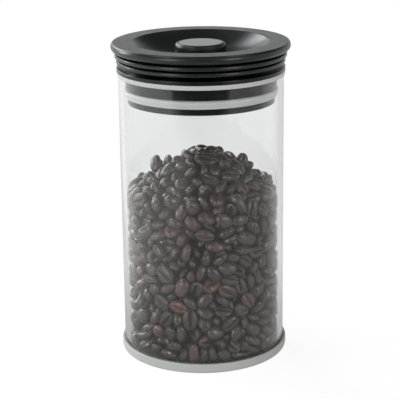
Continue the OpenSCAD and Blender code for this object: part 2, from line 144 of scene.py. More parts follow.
def guarded(rows):
    """Rows of r, z, edge and whether on an arc, with points added near the ends of each flat."""
    kept = []
    for row, after in zip(rows, rows[1:] + rows[:1]):
        kept.append(row[:3])
        a, b = Vector(row[:2]), Vector(after[:2])
        straight = not (row[3] and after[3]) or (b - a).length > LONG_STEP
        off_axis = row[0] > 0 or after[0] > 0
        if straight and off_axis and (b - a).length > 4 * GUARD:
            step = (b - a).normalized() * GUARD
            kept += [(*(a + step), 0.0), (*(b - step), 0.0)]
    return kept


def new_mesh(name, vertices, faces, attributes=None):
    """A smooth-shaded mesh object, from millimetres, with its float attributes per vertex."""
    mesh = bpy.data.meshes.new(name)
    mesh.from_pydata(np.asarray(vertices) * MM, [], faces)
    for key, values in (attributes or {}).items():
        added = mesh.attributes.new(key, "FLOAT", "POINT")
        added.data.foreach_set("value", np.asarray(values, np.float32))
    mesh.validate()
    mesh.shade_smooth()
    mesh.set_sharp_from_angle(angle=SHARP)
    made = bpy.data.objects.new(name, mesh)
    bpy.context.scene.collection.objects.link(made)
    return made


def lathe(name, rows, segments=SEGMENTS):
    """A closed outline swept round +Z. Points on the axis become one vertex each."""
    area = sum(a[0] * b[1] - b[0] * a[1] for a, b in zip(rows, rows[1:] + rows[:1]))
    if area < 0:
        rows = rows[::-1]
    vertices, edges, rings = [], [], []
    for r, z, edge in rows:
        count = 1 if r < ON_AXIS else segments
        rings.append(range(len(vertices), len(vertices) + count))
        for i in range(count):
            angle = 2 * math.pi * i / segments
            vertices.append((r * math.cos(angle), r * math.sin(angle), z))
            edges.append(edge)
    faces = []
    for low, high in zip(rings, rings[1:] + rings[:1]):
        if len(low) == 1 and len(high) == 1:
            continue
        for i in range(segments):
            j = (i + 1) % segments
            corners = [low[i % len(low)], low[j % len(low)],
                       high[j % len(high)], high[i % len(high)]]
            faces.append(list(dict.fromkeys(corners)))
    return new_mesh(name, vertices, faces, {"edge": edges})


def coil(name, turns, wire, radius, low, high, sides=14, steps=56):
    """A coil spring between two heights, with a closed turn at each end. radius is that of the
    wire's middle."""
    end_rise = 1.1 * wire
    middle = high - low - wire - 2 * end_rise
    rings = round((turns + 2) * steps)
    vertices = []
    for i in range(rings + 1):
        turn = i / steps
        if turn < 1:
            rise = turn * end_rise
        elif turn > turns + 1:
            rise = high - low - wire - (turns + 2 - turn) * end_rise
        else:
            rise = end_rise + (turn - 1) * middle / turns
        angle = 2 * math.pi * turn
        for j in range(sides):
            across = 2 * math.pi * j / sides
            reach = radius + wire / 2 * math.cos(across)
            up = low + rise + wire / 2 * (1 + math.sin(across))
            vertices.append((reach * math.cos(angle), reach * math.sin(angle), up))
    faces = [list(range(sides)), list(range(rings * sides, (rings + 1) * sides))[::-1]]
    for i in range(rings):
        here, ahead = i * sides, (i + 1) * sides
        for j in range(sides):
            k = (j + 1) % sides
            faces.append([ahead + j, ahead + k, here + k, here + j])
    return new_mesh(name, vertices, faces)


# ---------------------------------------------------------------- materials

def node(tree, kind, inputs=None, **settings):
    """A shader node with its settings. An input is a value, a socket to link from, or a node
    whose first output is linked."""
    made = tree.nodes.new("ShaderNode" + kind)
    for key, value in settings.items():
        setattr(made, key, value)
    for key, value in (inputs or {}).items():
        if isinstance(value, bpy.types.Node):
            value = value.outputs[0]
        if isinstance(value, bpy.types.NodeSocket):
            tree.links.new(value, made.inputs[key])
        else:
            made.inputs[key].default_value = value
    return made


def new_material(name):
    """An empty material and its node tree."""
    material = bpy.data.materials.new("look_" + name)
    material.use_nodes = True
    material.node_tree.nodes.clear()
    return material, material.node_tree


def finished(material, surface):
    """The material, with a shader as its surface."""
    node(material.node_tree, "OutputMaterial", {"Surface": surface})
    return material


def on_piece(tree):
    """Where a point of the surface is, in metres, fixed to the piece."""
    return node(tree, "TexCoord").outputs["Object"]


def attribute(tree, name):
    """A float attribute of the mesh."""
    return node(tree, "Attribute", attribute_name=name).outputs["Fac"]


def noise(tree, size_mm, detail, roughness=0.5):
    """A noise pattern fixed to the piece, with features of a size."""
    return node(tree, "TexNoise", {"Vector": on_piece(tree), "Scale": 1 / (size_mm * MM),
                                   "Detail": detail, "Roughness": roughness}).outputs["Fac"]


def spread(tree, value, low, high, start=0.3, end=0.7):
    """value, mapped so that start to end becomes low to high. Most of a noise is 0.3 to 0.7."""
    return node(tree, "MapRange", {"Value": value, "From Min": start, "From Max": end,
                                   "To Min": low, "To Max": high}).outputs["Result"]


def maths(tree, operation, first, second):
    """The result of an operation on two values or sockets."""
    return node(tree, "Math", {0: first, 1: second}, operation=operation).outputs[0]


def mixed(tree, factor, first, second):
    """Two colours mixed by a factor. A colour is a value or a socket."""
    return node(tree, "Mix", {0: factor, 6: first, 7: second}, data_type="RGBA").outputs[2]


def shade(colour, factor):
    """A colour made lighter or darker, with its alpha."""
    return (*(min(1, c * factor) for c in colour), 1)


def bumped(tree, layers):
    """Bumps of several sizes on one normal: rows of feature size, height and detail, in
    millimetres."""
    normal = None
    for size, height, detail in layers:
        inputs = {"Height": noise(tree, size, detail), "Distance": height * MM, "Strength": 1.0}
        if normal is not None:
            inputs["Normal"] = normal
        normal = node(tree, "Bump", inputs).outputs["Normal"]
    return normal


MOTTLE_MM, FLECK_MM, WEAR_MM, GLOSS_MM = 9, 0.35, 3, 5    # the patterns on a moulded surface
GLOSS_SPREAD = 0.03       # how far its roughness strays
LEAST_WEAR = 0.4          # what the wear leaves on the least worn edge
FOLD_PAINTED_SHADE = 0.12         # painted shade: the colour deep in a fold, against the colour outside
SHEEN_ROUGHNESS = 0.4


def moulded(name, colour, roughness, grain, mottle, edge_gain, sheen=0.0, specular=0.5,
            folds=None):
    """Moulded plastic or silicone: mottled colour, uneven gloss, a fine grain, and edges rubbed
    a little lighter. The two fold radii are in metres: inside the first, deep in a fold, shade is
    painted, the colour darkened and the gloss taken away by a black metallic. Past the second there
    is none."""
    material, tree = new_material(name)
    base = mixed(tree, spread(tree, noise(tree, MOTTLE_MM, 3), 0, 1),
                 shade(colour, 1 - mottle), shade(colour, 1 + mottle))
    base = mixed(tree, spread(tree, noise(tree, FLECK_MM, 1), 0, 0.5),
                 base, shade(colour, 1 - 2 * mottle))
    patches = spread(tree, noise(tree, WEAR_MM, 2), LEAST_WEAR, 1)
    worn = maths(tree, "MULTIPLY", attribute(tree, "edge"), patches)
    base = mixed(tree, worn, base, shade(colour, 1 + edge_gain))
    gloss = spread(tree, noise(tree, GLOSS_MM, 4),
                   roughness - GLOSS_SPREAD, roughness + GLOSS_SPREAD)
    painted_shade_metallic = 0.0
    # painted shade: deep in a fold the colour darkens and a black metallic takes away the
    # reflection
    if folds:
        flat = node(tree, "VectorMath", {0: on_piece(tree), 1: (1, 1, 0)}, operation="MULTIPLY")
        reach = node(tree, "VectorMath", {0: flat}, operation="LENGTH").outputs["Value"]
        outside = spread(tree, reach, 0, 1, *folds)
        base = mixed(tree, outside, shade(colour, FOLD_PAINTED_SHADE), base)
        painted_shade_metallic = spread(tree, outside, 1, 0, 0, 1)
    return finished(material, node(tree, "BsdfPrincipled", {
        "Base Color": base, "Roughness": gloss, "Metallic": painted_shade_metallic, "Normal": bumped(tree, grain),
        "Specular IOR Level": specular, "Sheen Weight": sheen,
        "Sheen Roughness": SHEEN_ROUGHNESS}))


GLASS_WAVES = [(26, 0.02, 1)]


def clear_glass():
    """Soda glass with faint waves, which lets lamps through so that they light what is inside."""
    material, tree = new_material("clear_glass")
    glass = node(tree, "BsdfPrincipled", {
        "Base Color": (0.908, 0.918, 0.918, 1), "Roughness": 0.0, "IOR": 1.5,
        "Transmission Weight": 1.0, "Normal": bumped(tree, GLASS_WAVES)})
    clear = node(tree, "BsdfTransparent", {"Color": (0.9, 0.91, 0.91, 1)})
    path = node(tree, "LightPath").outputs
    passing = maths(tree, "MAXIMUM", path["Is Shadow Ray"], path["Is Diffuse Ray"])
    return finished(material, node(tree, "MixShader", {0: passing, 1: glass, 2: clear}))


# A bean's colour by its tint, from the darkest roast to the palest
ROASTS = ((0.0, (0.034, 0.025, 0.020)), (0.4, (0.086, 0.058, 0.043)),
          (0.7, (0.155, 0.082, 0.057)), (1.0, (0.260, 0.104, 0.064)))
BURNT, SKIN = (0.018, 0.013, 0.011, 1), (0.20, 0.125, 0.075, 1)
MOST_BURNT, MOST_SKIN = 0.8, 0.5          # how far these two cover the roast
SKIN_FROM, SKIN_TO = 0.4, 0.9             # tints between which the skin comes in
OIL_MM, WRINKLE_MM = 1.1, 1.6             # the patterns on a bean
OILY, DRY = 0.22, 0.38                    # its roughness
BEAN_GRAIN = [(1.8, 0.16, 3), (0.4, 0.03, 2)]


def roasted_coffee():
    """Dark roast: each bean has its own tint, fine wrinkles, an oily gloss and paler skin in its
    crease."""
    material, tree = new_material("roasted_coffee")
    tint = attribute(tree, "tint")
    ramp = node(tree, "ValToRGB", {"Fac": tint})
    stops = ramp.color_ramp.elements
    for i, (at, colour) in enumerate(ROASTS):
        stop = stops[i] if i < 2 else stops.new(at)    # a new ramp has two
        stop.position, stop.color = at, (*colour, 1)
    wrinkled = spread(tree, noise(tree, WRINKLE_MM, 4, 0.6), 0, MOST_BURNT)
    base = mixed(tree, wrinkled, ramp.outputs[0], BURNT)
    pale = spread(tree, tint, 0, MOST_SKIN, SKIN_FROM, SKIN_TO)
    creased = maths(tree, "MULTIPLY", attribute(tree, "crease"), pale)
    return finished(material, node(tree, "BsdfPrincipled", {
        "Base Color": mixed(tree, creased, base, SKIN),
        "Roughness": spread(tree, noise(tree, OIL_MM, 3), OILY, DRY),
        "Normal": bumped(tree, BEAN_GRAIN), "Specular IOR Level": 1.0}))


STEEL_DARK, STEEL_LIGHT = (0.42, 0.42, 0.43, 1), (0.56, 0.56, 0.57, 1)
STEEL_SHINY, STEEL_DULL = 0.22, 0.38      # its roughness
STEEL_GRAIN = [(0.2, 0.004, 1)]


def steel():
    """Bright steel, with a fine unevenness in its tone and gloss."""
    material, tree = new_material("steel")
    return finished(material, node(tree, "BsdfPrincipled", {
        "Base Color": mixed(tree, noise(tree, 2, 3), STEEL_DARK, STEEL_LIGHT), "Metallic": 1.0,
        "Roughness": spread(tree, noise(tree, 0.5, 3), STEEL_SHINY, STEEL_DULL),
        "Normal": bumped(tree, STEEL_GRAIN)}))


# Grains, as layers of feature size, height and detail
SPARK = [(0.30, 0.004, 2), (0.09, 0.001, 1)]      # the fine texture of a spark-eroded mould
SATIN = [(0.45, 0.004, 2), (0.12, 0.001, 1)]
RUBBERY = [(0.60, 0.006, 2), (0.14, 0.001, 1)]

PALE_SILICONE = {"grain": RUBBERY, "mottle": 0.02, "edge_gain": 0.08, "sheen": 0.05}
DARK = {"mottle": 0.1, "edge_gain": 0.3}
# where the painted shade of the bellows' folds lies: full inside the first radius, none past the
# second
BELLOWS_PAINTED_SHADE_RADII = [(extent("bellows")[0] + inset) * MM for inset in (-2.2, -1.2)]

# What each moulded look is: its colour, its roughness and the rest
MOULDED = {
    "boot_silicone": ((0.585, 0.583, 0.567), 0.55, PALE_SILICONE),
    "lid_plastic": ((0.010, 0.0105, 0.011), 0.22, {"grain": SATIN, "specular": 0.4, **DARK}),
    "inner_plastic": ((0.10, 0.10, 0.10), 0.45,
                      {"grain": SPARK, "mottle": 0.05, "edge_gain": 0.1}),
    "top_plastic": ((0.0120, 0.0140, 0.0140), 0.30,
                    {"grain": SPARK, "mottle": 0.06, "edge_gain": 0.3}),
    "button_plastic": ((0.0125, 0.0138, 0.0138), 0.37, {"grain": SPARK, **DARK}),
    "cap_plastic": ((0.345, 0.35, 0.348), 0.36,
                    {"grain": SATIN, "mottle": 0.02, "edge_gain": 0.1}),
    "seal_silicone": ((0.64, 0.64, 0.622), 0.45, PALE_SILICONE),
    "gasket_silicone": ((0.86, 0.855, 0.83), 0.45, PALE_SILICONE),
    "bellows_silicone": ((0.0125, 0.0135, 0.0135), 0.27,
                         {"grain": RUBBERY, "folds": BELLOWS_PAINTED_SHADE_RADII, **DARK}),
    "valve_rubber": ((0.02, 0.02, 0.02), 0.5, {"grain": RUBBERY, "mottle": 0.1, "edge_gain": 0.2}),
}

LOOKS = {name: moulded(name, colour, roughness, **rest)
         for name, (colour, roughness, rest) in MOULDED.items()}
LOOKS.update(clear_glass=clear_glass(), roasted_coffee=roasted_coffee(), steel=steel())


def dress(piece, look, *nodes):
    """Gives a piece its look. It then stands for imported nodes."""
    piece.data.materials.clear()
    piece.data.materials.append(LOOKS[look])
    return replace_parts(piece, *nodes)


def stretched(piece):
    """Moves the piece's place and turn into its mesh."""
    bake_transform(piece)


# ---------------------------------------------------------------- the jar

def boot():
    """The soft cup under the glass, which is hollow inside its standing ring."""
    radius, low, high = extent("base_boot")
    wall, hollow, ring, heel = 1.6, 0.5, 9.0, 2.0
    inside, bed = radius - wall, low + wall - CONTACT
    rows = outline(
        (0, low + hollow), (radius - ring, low + hollow, FINE), (radius - ring, low, CRISP),
        (radius, low, heel), (radius, high, EASED), (inside, high, CRISP),
        (inside, bed, HEEL_ROUND), (0, bed))
    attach(dress(lathe("boot_shell", rows), "boot_silicone", "base_boot"), "jar")


def jar():
    """The glass, with its lip and its heel rounded."""
    radius, low, high = extent("glass_jar")
    bore, bed = radius - JAR_WALL, low + JAR_FLOOR
    rows = outline(
        (0, low), (radius, low, HEEL_ROUND), (radius, high, LIP_ROUND), (bore, high, LIP_ROUND),
        (bore, bed, INNER_HEEL_ROUND), (0, bed))
    glass = lathe("jar_glass", rows, GLASS_SEGMENTS)
    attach(dress(glass, "clear_glass", "glass_jar"), "jar")


# ---------------------------------------------------------------- the beans

class Fill:
    """The space that the beans take: a wall, a floor, a heaped surface and a closed core."""
    wall = extent("glass_jar")[0] - JAR_WALL - BEAN_CLEARANCE
    floor = extent("coffee_beans")[1]

    @classmethod
    def heap(cls, r):
        """Height of the heap's surface at a radius, without its mounds."""
        share = np.minimum(r, cls.wall) / cls.wall
        return cls.floor + FILL_EDGE + FILL_RISE * (1 + np.cos(np.pi * share)) / 2

    @classmethod
    def surface(cls, x, y):
        """Height of the heap's surface at a place, with its mounds."""
        return cls.heap(np.hypot(x, y)) + sum(
            height * np.exp(-((x - at_x) ** 2 + (y - at_y) ** 2) / width ** 2)
            for at_x, at_y, width, height in MOUNDS)

    @classmethod
    def slope(cls, r):
        """How steeply the heap rises outwards at a radius."""
        share = np.minimum(r, cls.wall) / cls.wall
        return -FILL_RISE * np.pi / cls.wall * np.sin(np.pi * share) / 2

    @classmethod
    def core_top(cls, r):
        """Height of the core at a radius."""
        return cls.heap(r) - CORE_DEPTH


def turn_matrices(vectors):
    """Rotation matrices for rows of rotation vectors."""
    angle = np.linalg.norm(vectors, axis=1) + 1e-12
    axis = vectors / angle[:, None]
    cross = np.zeros((len(vectors), 3, 3))
    cross[:, 0, 1], cross[:, 0, 2], cross[:, 1, 2] = -axis[:, 2], axis[:, 1], -axis[:, 0]
    cross[:, 1, 0], cross[:, 2, 0], cross[:, 2, 1] = axis[:, 2], -axis[:, 1], axis[:, 0]
    sine, versine = np.sin(angle)[:, None, None], (1 - np.cos(angle))[:, None, None]
    return np.eye(3) + sine * cross + versine * np.einsum("nij,njk->nik", cross, cross)


def random_turns(rng, count):
    """Rotation matrices that face all ways alike."""
    q = rng.normal(size=(count, 4))
    w, x, y, z = (q / np.linalg.norm(q, axis=1)[:, None]).T
    rows = [[1 - 2 * (y * y + z * z), 2 * (x * y - z * w), 2 * (x * z + y * w)],
            [2 * (x * y + z * w), 1 - 2 * (x * x + z * z), 2 * (y * z - x * w)],
            [2 * (x * z - y * w), 2 * (y * z + x * w), 1 - 2 * (x * x + y * y)]]
    return np.stack([np.stack(row, -1) for row in rows], -2)


def scattered(rng, count):
    """Places spread evenly through the shell of beans round the core."""
    inset = 3.0
    places = []
    while len(places) < count:
        x, y = rng.uniform(-Fill.wall, Fill.wall, 2)
        z = rng.uniform(Fill.floor, Fill.floor + FILL_EDGE + FILL_RISE)
        r = math.hypot(x, y)
        in_jar = r < Fill.wall - inset and z > Fill.floor + inset
        in_core = r < CORE_RADIUS + inset and z < Fill.core_top(r) + inset
        if in_jar and z < Fill.surface(x, y) - inset and not in_core:
            places.append((x, y, z))
    return np.array(places)


class Settling:
    """Pushes beans, each made of seven balls, apart until they lie against each other and the
    jar. The first ones start on the heap's mounds."""
    # The balls' places along and across, as shares of the way to where an end or side ball lies
    BALLS = ((1, 0), (-1, 0), (0.55, 0.8), (0.55, -0.8), (-0.55, 0.8), (-0.55, -0.8), (0, 0))
    END_BALLS = 0.9         # the size of the first two balls, against the others
    SIZES = (0.88, 1.12)    # how far beans differ in size,
    SHAPES = (0.93, 1.07)   # and in length, width and thickness
    UNEVEN = 1.2            # how far off the heap's surface the one that holds a bean is
    UNDER_MOUND = 4.0       # how far below a mound's top its bean starts
    STEPS = 300
    GROWN_BY = 0.6          # the share of the steps by which the beans have grown to full size
    START_SIZE = 0.55
    LOOK_AGAIN = 6          # steps between two searches for neighbours,
    LOOK_FURTHER = 1.5      # which find those this near
    GYRATION = 10.0         # how hard a bean is to turn, in square millimetres
    REACH = 1.6             # how much of a push is made good in a step
    WALL_WEIGHT = 2.0       # how much harder a wall's push moves a bean
    MOST_TURN = 0.3
    SINK = 0.06             # how far the beans near the floor drop in a step
    SINK_BELOW = 14.0       # how near

    def __init__(self, rng, count):
        self.places = scattered(rng, count)
        for i, (x, y, _, _) in enumerate(MOUNDS):
            self.places[i] = (x, y, Fill.surface(x, y) - self.UNDER_MOUND)
        sizes = rng.uniform(*self.SIZES, (count, 1))
        self.half = BEAN_HALF * sizes * rng.uniform(*self.SHAPES, (count, 3))
        self.turns = random_turns(rng, count)
        self.uneven = rng.normal(0, self.UNEVEN, count)
        thick = self.half[:, 2]
        self.offsets = np.zeros((count, len(self.BALLS), 3))
        for k, (along, across) in enumerate(self.BALLS):
            self.offsets[:, k, 0] = along * (self.half[:, 0] - thick)
            self.offsets[:, k, 1] = across * (self.half[:, 1] - thick)
        self.balls = np.repeat(thick[:, None], len(self.BALLS), 1)
        self.balls[:, :2] *= self.END_BALLS

    def settle(self):
        """Grows the beans and moves them step by step."""
        growth = 1 - self.START_SIZE
        for step in range(self.STEPS):
            grown = min(1.0, self.START_SIZE + growth * step / (self.GROWN_BY * self.STEPS))
            if step % self.LOOK_AGAIN == 0:
                self.find_neighbours(grown)
            self.clear_pushes(grown)
            self.push_neighbours()
            self.push_from_walls()
            self.move()
        return self

    def find_neighbours(self, grown):
        """Lists the pairs of beans that may touch before the next search."""
        apart = self.places[:, None] - self.places[None]
        reach = self.half[:, 0] * grown
        furthest = reach[:, None] + reach[None] + self.LOOK_FURTHER
        near = np.einsum("ijk,ijk->ij", apart, apart) < furthest ** 2
        self.first, self.second = np.nonzero(np.triu(near, 1))

    def clear_pushes(self, grown):
        """Starts a step: where the balls are now, and no pushes yet."""
        count = len(self.places)
        self.arms = np.einsum("nij,nsj->nsi", self.turns, self.offsets * grown)
        self.radii = self.balls * grown
        self.moves, self.spins = np.zeros((count, 3)), np.zeros((count, 3))
        self.touches = np.zeros(count)

    def add(self, bean, push, arm, weight=1.0):
        """Adds pushes on beans, each at the end of an arm from the bean's middle."""
        count = len(self.places)
        torque = np.cross(arm, push)
        for k in range(3):
            self.moves[:, k] += weight * np.bincount(bean, push[:, k], count)
            self.spins[:, k] += np.bincount(bean, torque[:, k], count) / self.GYRATION
        self.touches += np.bincount(bean, minlength=count)

    def push_neighbours(self):
        """Pushes balls that overlap apart, each bean by half of the overlap."""
        centres = self.places[:, None] + self.arms
        apart = centres[self.first][:, :, None] - centres[self.second][:, None]
        distance = np.sqrt(np.einsum("pijk,pijk->pij", apart, apart)) + 1e-9
        touching = self.radii[self.first][:, :, None] + self.radii[self.second][:, None]
        depth = touching - distance
        pair, i, j = np.nonzero(depth > 0)
        normal = apart[pair, i, j] / distance[pair, i, j][:, None]
        push = normal * (0.5 * depth[pair, i, j])[:, None]
        a, b = self.first[pair], self.second[pair]
        self.add(a, push, self.arms[a, i] - normal * self.radii[a, i][:, None])
        self.add(b, -push, self.arms[b, j] + normal * self.radii[b, j][:, None])

    def push_from(self, depth, normal):
        """Pushes out of a wall the balls that reach into it."""
        bean, ball = np.nonzero(depth > 0)
        way = normal[bean, ball]
        push = way * depth[bean, ball][:, None]
        arm = self.arms[bean, ball] - way * self.radii[bean, ball][:, None]
        self.add(bean, push, arm, self.WALL_WEIGHT)

    def push_from_walls(self):
        """Keeps the beans in the jar, on its floor, under the heap's surface and off the core."""
        centres = self.places[:, None] + self.arms
        r = np.hypot(centres[..., 0], centres[..., 1]) + 1e-9
        z = centres[..., 2]
        outward = np.stack([centres[..., 0] / r, centres[..., 1] / r, 0 * r], -1)
        up = np.zeros_like(outward)
        up[..., 2] = 1
        self.push_from(r + self.radii - Fill.wall, -outward)
        self.push_from(Fill.floor + self.radii - z, up)
        slope = Fill.slope(r)
        level = 1 / np.sqrt(1 + slope ** 2)
        heap_normal = outward * (-slope * level)[..., None] + up * level[..., None]
        surface = Fill.surface(centres[..., 0], centres[..., 1]) + self.uneven[:, None]
        self.push_from((z - surface) * level + self.radii, -heap_normal)
        aside = CORE_RADIUS - (r - self.radii)
        below = Fill.core_top(r) - (z - self.radii)
        inside = (aside > 0) & (below > 0)
        sideways = inside & (aside < below)
        self.push_from(np.where(sideways, aside, 0), outward)
        self.push_from(np.where(inside & ~sideways, below, 0), up)

    def move(self):
        """Moves and turns each bean by the mean of its pushes."""
        share = self.REACH / np.maximum(self.touches, 1)[:, None]
        self.places += share * self.moves
        low = self.places[:, 2] < Fill.floor + self.SINK_BELOW
        self.places[low, 2] -= self.SINK
        spins = np.clip(share * self.spins, -self.MOST_TURN, self.MOST_TURN)
        self.turns = np.einsum("nij,njk->nik", turn_matrices(spins), self.turns)


BEAN_RINGS = 13
BEAN_TOP = 9              # points over the domed side, both edges included
BEAN_FLAT = (0.86, 0.62, 0.40, 0.24, 0.12, 0.0)   # points on half of the flat side, edge to middle
CREASE_WANDER, CREASE_SKEW = 0.16, 0.05   # most that a crease winds and lies off the middle
CREASE_WIDTH, CREASE_DEPTH, CREASE_END = 0.17, 0.55, 3    # it fades over the last third of x
BLUNT = (0.82, 0.95)      # how blunt the ends are: 1 is an ellipsoid
LUMP = 0.05
DOME, FLAT = 1.18, -0.82  # heights of the domed side and of the flat side
FLAT_FALL = 0.8           # the power of a section's girth that its flat side's height follows


def bean_shape(rng):
    """One bean of half sizes 1, and how deep in its crease each point lies."""
    wander = rng.uniform(-CREASE_WANDER, CREASE_WANDER)
    skew = rng.uniform(-CREASE_SKEW, CREASE_SKEW)
    blunt = rng.uniform(*BLUNT)
    lumps = rng.uniform(-LUMP, LUMP, 6)     # two are spare, and keep the draws in step
    flat_side = [-t for t in BEAN_FLAT] + list(BEAN_FLAT[-2::-1])
    points, creases = [(1, 0, 0)], [0]
    for ring in range(1, BEAN_RINGS + 1):
        u = math.pi * ring / (BEAN_RINGS + 1)
        x, girth = math.cos(u), math.sin(u) ** blunt
        crease_y = wander * math.sin(math.pi * x) + skew
        fade = min(1, CREASE_END * (1 - abs(x)))
        section = []
        for i in range(BEAN_TOP):
            across = math.pi * i / (BEAN_TOP - 1)
            wave, ripple = math.sin(3 * x + across), math.sin(2 * across + 100 * x * lumps[2])
            lump = 1 + lumps[0] * wave + lumps[1] * ripple      # broad lumps on the dome
            section.append((math.cos(across), DOME * math.sin(across) * lump, 0))
        for t in flat_side:
            near = math.exp(-(t / CREASE_WIDTH) ** 2) * fade
            height = FLAT * math.sqrt(1 - abs(t) ** 3) + CREASE_DEPTH * near
            section.append((t, height + lumps[3] * math.sin(3 * x + 2 * t), near))
        for y, z, near in section:
            flat_share = max(0.0, 1 - abs(y)) if z < 0 else 0
            side = y * girth + crease_y * girth * flat_share
            points.append((x, side, z * girth ** (FLAT_FALL if z < 0 else 1)))
            creases.append(near)
    points.append((-1, 0, 0))
    creases.append(0)
    return np.array(points), np.array(creases)


def bean_faces():
    """The faces of a bean, as rings of quads between two fans."""
    width = BEAN_TOP + 2 * len(BEAN_FLAT) - 1
    last = 1 + BEAN_RINGS * width
    faces = []
    for j in range(width):
        k = (j + 1) % width
        faces.append((0, 1 + j, 1 + k))
        faces.append((last, last - width + k, last - width + j))
        for ring in range(BEAN_RINGS - 1):
            a = 1 + ring * width
            faces.append((a + j, a + width + j, a + width + k, a + k))
    return faces


def kept_inside(points):
    """Points of beans, moved in from the jar's wall and up from its floor."""
    hair = 0.02
    r = np.hypot(points[:, 0], points[:, 1])
    share = np.minimum(1, (Fill.wall - hair) / r)
    height = np.maximum(points[:, 2], Fill.floor)
    return np.stack([points[:, 0] * share, points[:, 1] * share, height], 1)


def beans():
    """The settled beans, every fifth one in the same mesh."""
    rng = np.random.RandomState(BEAN_SEED)
    settled = Settling(rng, BEAN_COUNT).settle()
    shapes = [bean_shape(rng) for _ in range(BEAN_SHAPES)]
    faces = bean_faces()
    size = len(shapes[0][0])
    which = rng.randint(0, len(shapes), BEAN_COUNT)
    tints = rng.beta(*BEAN_TINTS, BEAN_COUNT)
    for part in range(BEAN_MESHES):
        points, creases, part_faces = [], [], []
        for k, i in enumerate(range(part, BEAN_COUNT, BEAN_MESHES)):
            shape, crease = shapes[which[i]]
            points.append(settled.places[i] + (shape * settled.half[i]) @ settled.turns[i].T)
            creases.append(crease)
            part_faces += [[v + k * size for v in face] for face in faces]
        piece = new_mesh(f"beans_{part + 1}", kept_inside(np.concatenate(points)), part_faces, {
            "tint": np.repeat(tints[part::BEAN_MESHES], size),
            "crease": np.concatenate(creases)})
        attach(dress(piece, "roasted_coffee", "coffee_beans"), "jar")


def painted_shade_core():
    """The middle of the fill, which shows only between the beans: painted shade, as dark as the
    darkest roast all over.
    """
    reach, raised, steps = 0.5, 1.0, 12
    radius, foot = CORE_RADIUS + reach, Fill.floor + raised
    top = [(r, Fill.core_top(r)) for r in (radius * (1 - i / steps) for i in range(steps + 1))]
    rows = outline((0, foot), (radius, foot), *top)
    core = lathe("painted_shade_core", rows, CORE_SEGMENTS)
    core.data.attributes.new("tint", "FLOAT", "POINT")    # 0 all over: the darkest roast, as painted shade between the beans
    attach(dress(core, "roasted_coffee", "coffee_beans"), "jar")


# ---------------------------------------------------------------- the lid

def rim_seal():
    """The pale ring that rests on the lip of the glass, with a skirt outside it."""
    radius, low, high = extent("rim_seal")
    jar_radius, _, lip = extent("glass_jar")
    plug_gap, skirt_gap, skirt_foot, foot_round, top_round = 1.1, 0.15, 0.525, 0.12, 0.1
    plug, skirt_in = jar_radius - JAR_WALL - plug_gap, jar_radius + skirt_gap
    rows = outline(
        (plug, lip + CONTACT), (skirt_in, lip + CONTACT), (skirt_in, low),
        (jar_radius + skirt_foot, low, foot_round), (radius, lip), (radius, high, top_round),
        (plug, high))
    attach(dress(lathe("rim_seal_ring", rows), "seal_silicone", "rim_seal"), "lid")


def plug_gasket():
    """The pale ring round the plug, which bulges towards the glass."""
    radius, low, high = extent("plug_gasket")
    depth, foot, bulge = 3.25, 1.45, 0.8
    inside, height = radius - depth, high - low
    rows = outline(
        (inside, low), (radius - foot, low, CRISP), (radius, high - height / 3, bulge),
        (radius, high, height / 4), (inside, high))
    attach(dress(lathe("plug_gasket_ring", rows), "gasket_silicone", "plug_gasket"), "lid")


def bellows():
    """The folded sleeve between the two clamp rings, which closes as the top plate comes down."""
    radius, low, high = extent("bellows")
    wall, rib, gap, neck_low, stagger = 1.0, 2.5, 1.2, 2.3, 1.0
    neck_depth, flange_depth = 2.7, 4.8
    rib_round, root_round = 0.83, 0.25
    neck = extent("lid_body")[0] - neck_depth
    inner, flange = neck - wall, neck - flange_depth
    outside, inside = [], []
    for i, reach in enumerate((radius - stagger, radius)):
        foot = low + neck_low + i * (rib + gap)
        head, hollow = foot + rib, reach - wall
        outside += [(neck, foot, root_round), (reach, foot, rib_round),
                    (reach, head, rib_round), (neck, head, root_round)]
        inside = [(inner, head - wall), (hollow, head - wall, FINE),
                  (hollow, foot + wall, FINE), (inner, foot + wall)] + inside
    rows = outline(
        (flange, low), (neck, low), *outside, (neck, high), (flange, high), (flange, high - wall),
        (inner, high - wall), *inside, (inner, low + wall), (flange, low + wall))
    sleeve = dress(lathe("bellows_sleeve", rows), "bellows_silicone", "bellows")
    stretched(sleeve)


def spring(name, node_name, turns, wire):
    """A steel coil between two bodies."""
    radius, low, high = extent(node_name)
    made = coil(name, turns, wire, radius - wire / 2, low, high)
    stretched(dress(made, "steel", node_name))


# ---------------------------------------------------------------- the top plate and its button

